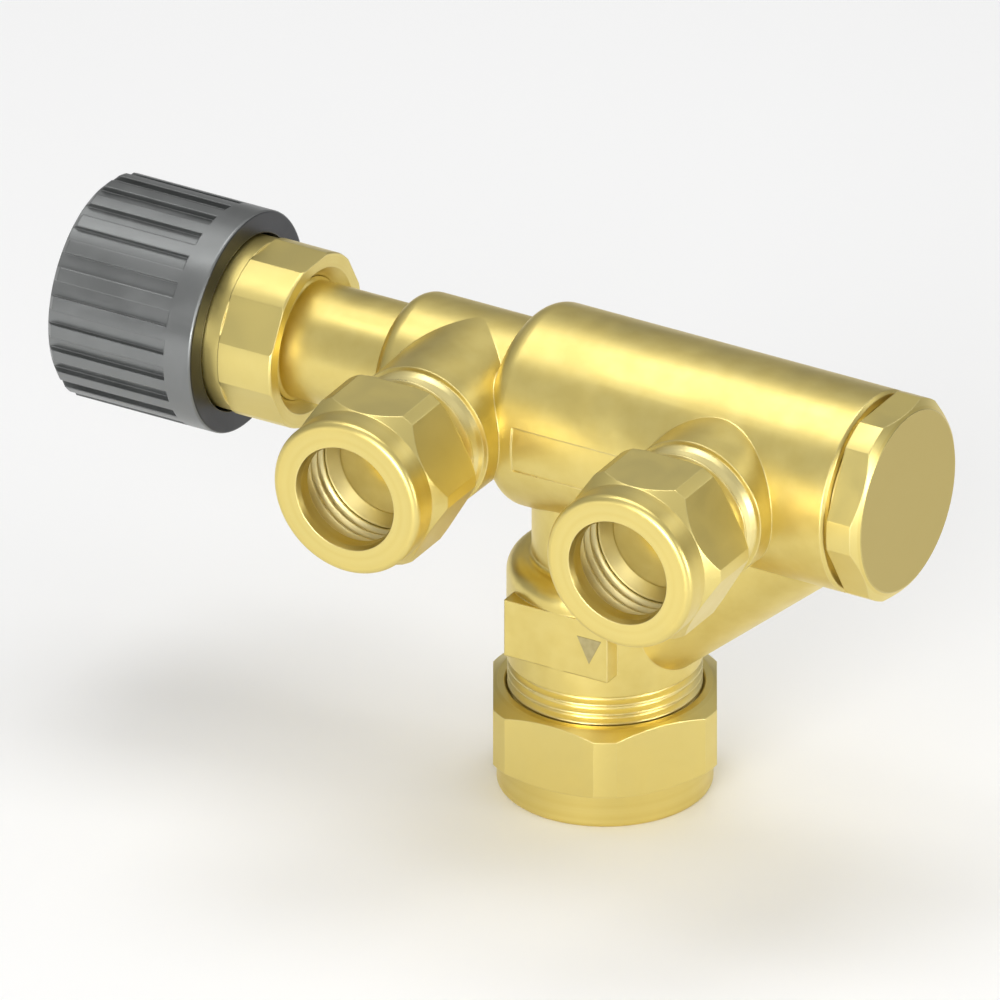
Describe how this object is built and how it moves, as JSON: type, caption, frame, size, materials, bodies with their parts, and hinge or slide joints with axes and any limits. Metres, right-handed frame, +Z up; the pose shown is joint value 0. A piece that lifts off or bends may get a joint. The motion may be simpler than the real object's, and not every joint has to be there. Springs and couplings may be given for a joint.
{
  "type": "thermostatic mixing valve",
  "caption": "Brass mixing valve with two side-by-side compression inlets, a larger compression outlet below, a slanted branch, a hexagonal end plug and a fluted adjusting knob.",
  "frame": {"origin": "centre of the outlet's pipe stop, on the outlet's axis", "axes": "+X along the main axis from the knob to the end plug, both inlets face -Y, the outlet faces -Z, +Z up"},
  "size_m": [0.1329, 0.0561, 0.0744],
  "materials": {
    "body_brass": "cast and machined, satin",
    "nut_brass": "turned, satin",
    "inner_brass": "turned, satin",
    "knob_plastic": "moulded, satin",
    "white_plastic": "moulded, satin",
    "black_rubber": "matt",
    "steel": "bright drawn"
  },
  "bodies": {
    "housing": {"valve_body": "body_brass", "bonnet": "nut_brass", "bonnet_o_ring": "black_rubber", "spindle_clip": "steel", "hot_seat": "inner_brass", "divider": "inner_brass", "divider_o_ring": "black_rubber", "stem_o_ring": "black_rubber", "end_plug": "nut_brass", "end_plug_o_ring": "black_rubber", "return_spring": "steel", "cold_check_cage": "white_plastic", "cold_check_seat": "white_plastic", "cold_check_spring": "steel", "hot_check_cage": "white_plastic", "hot_check_seat": "white_plastic", "hot_check_spring": "steel"},
    "knob_set": {"knob": "knob_plastic", "spindle": "inner_brass", "spindle_o_ring": "black_rubber", "knob_screw": "steel"},
    "push_rod_set": {"push_rod": "inner_brass", "wax_rod": "steel"},
    "shuttle_set": {"shuttle": "white_plastic", "shuttle_stem": "inner_brass", "wax_capsule": "inner_brass"},
    "cold_poppet": {"cold_check_poppet": "white_plastic"},
    "hot_poppet": {"hot_check_poppet": "white_plastic"},
    "cold_nut_body": {"cold_nut": "nut_brass"},
    "hot_nut_body": {"hot_nut": "nut_brass"},
    "outlet_nut_body": {"outlet_nut": "nut_brass"}
  },
  "joints": [
    {"name": "knob_turn", "type": "hinge", "parent": "housing", "child": "knob_set", "pos_m": [-0.07, 0, 0.036], "axis": [1, 0, 0], "range_deg": [-150, 150]},
    {"name": "push_rod_slide", "type": "slide", "parent": "housing", "child": "push_rod_set", "axis": [1, 0, 0], "range_m": [-0.00126, 0.00126]},
    {"name": "shuttle_slide", "type": "slide", "parent": "push_rod_set", "child": "shuttle_set", "axis": [1, 0, 0], "range_m": [0, 0.001], "stiffness_N_per_m": 3000, "springref_m": -0.003, "deforming": ["return_spring"]},
    {"name": "cold_check_slide", "type": "slide", "parent": "housing", "child": "cold_poppet", "axis": [0, 1, 0], "range_m": [0, 0.0012], "stiffness_N_per_m": 60, "springref_m": -0.002, "deforming": ["cold_check_spring"]},
    {"name": "hot_check_slide", "type": "slide", "parent": "housing", "child": "hot_poppet", "axis": [0, 1, 0], "range_m": [0, 0.0012], "stiffness_N_per_m": 60, "springref_m": -0.002, "deforming": ["hot_check_spring"]},
    {"name": "cold_nut_turn", "type": "hinge", "parent": "housing", "child": "cold_nut_body", "pos_m": [-0.02, -0.03, 0.036], "axis": [0, -1, 0], "continuous": true},
    {"name": "hot_nut_turn", "type": "hinge", "parent": "housing", "child": "hot_nut_body", "pos_m": [0.025, -0.03, 0.036], "axis": [0, -1, 0], "continuous": true},
    {"name": "outlet_nut_turn", "type": "hinge", "parent": "housing", "child": "outlet_nut_body", "pos_m": [0, 0, -0.012], "axis": [0, 0, -1], "continuous": true}
  ],
  "couplings": [
    {"joint": "push_rod_slide", "follows": "knob_turn", "m_per_rad": 0.00047746}
  ]
}
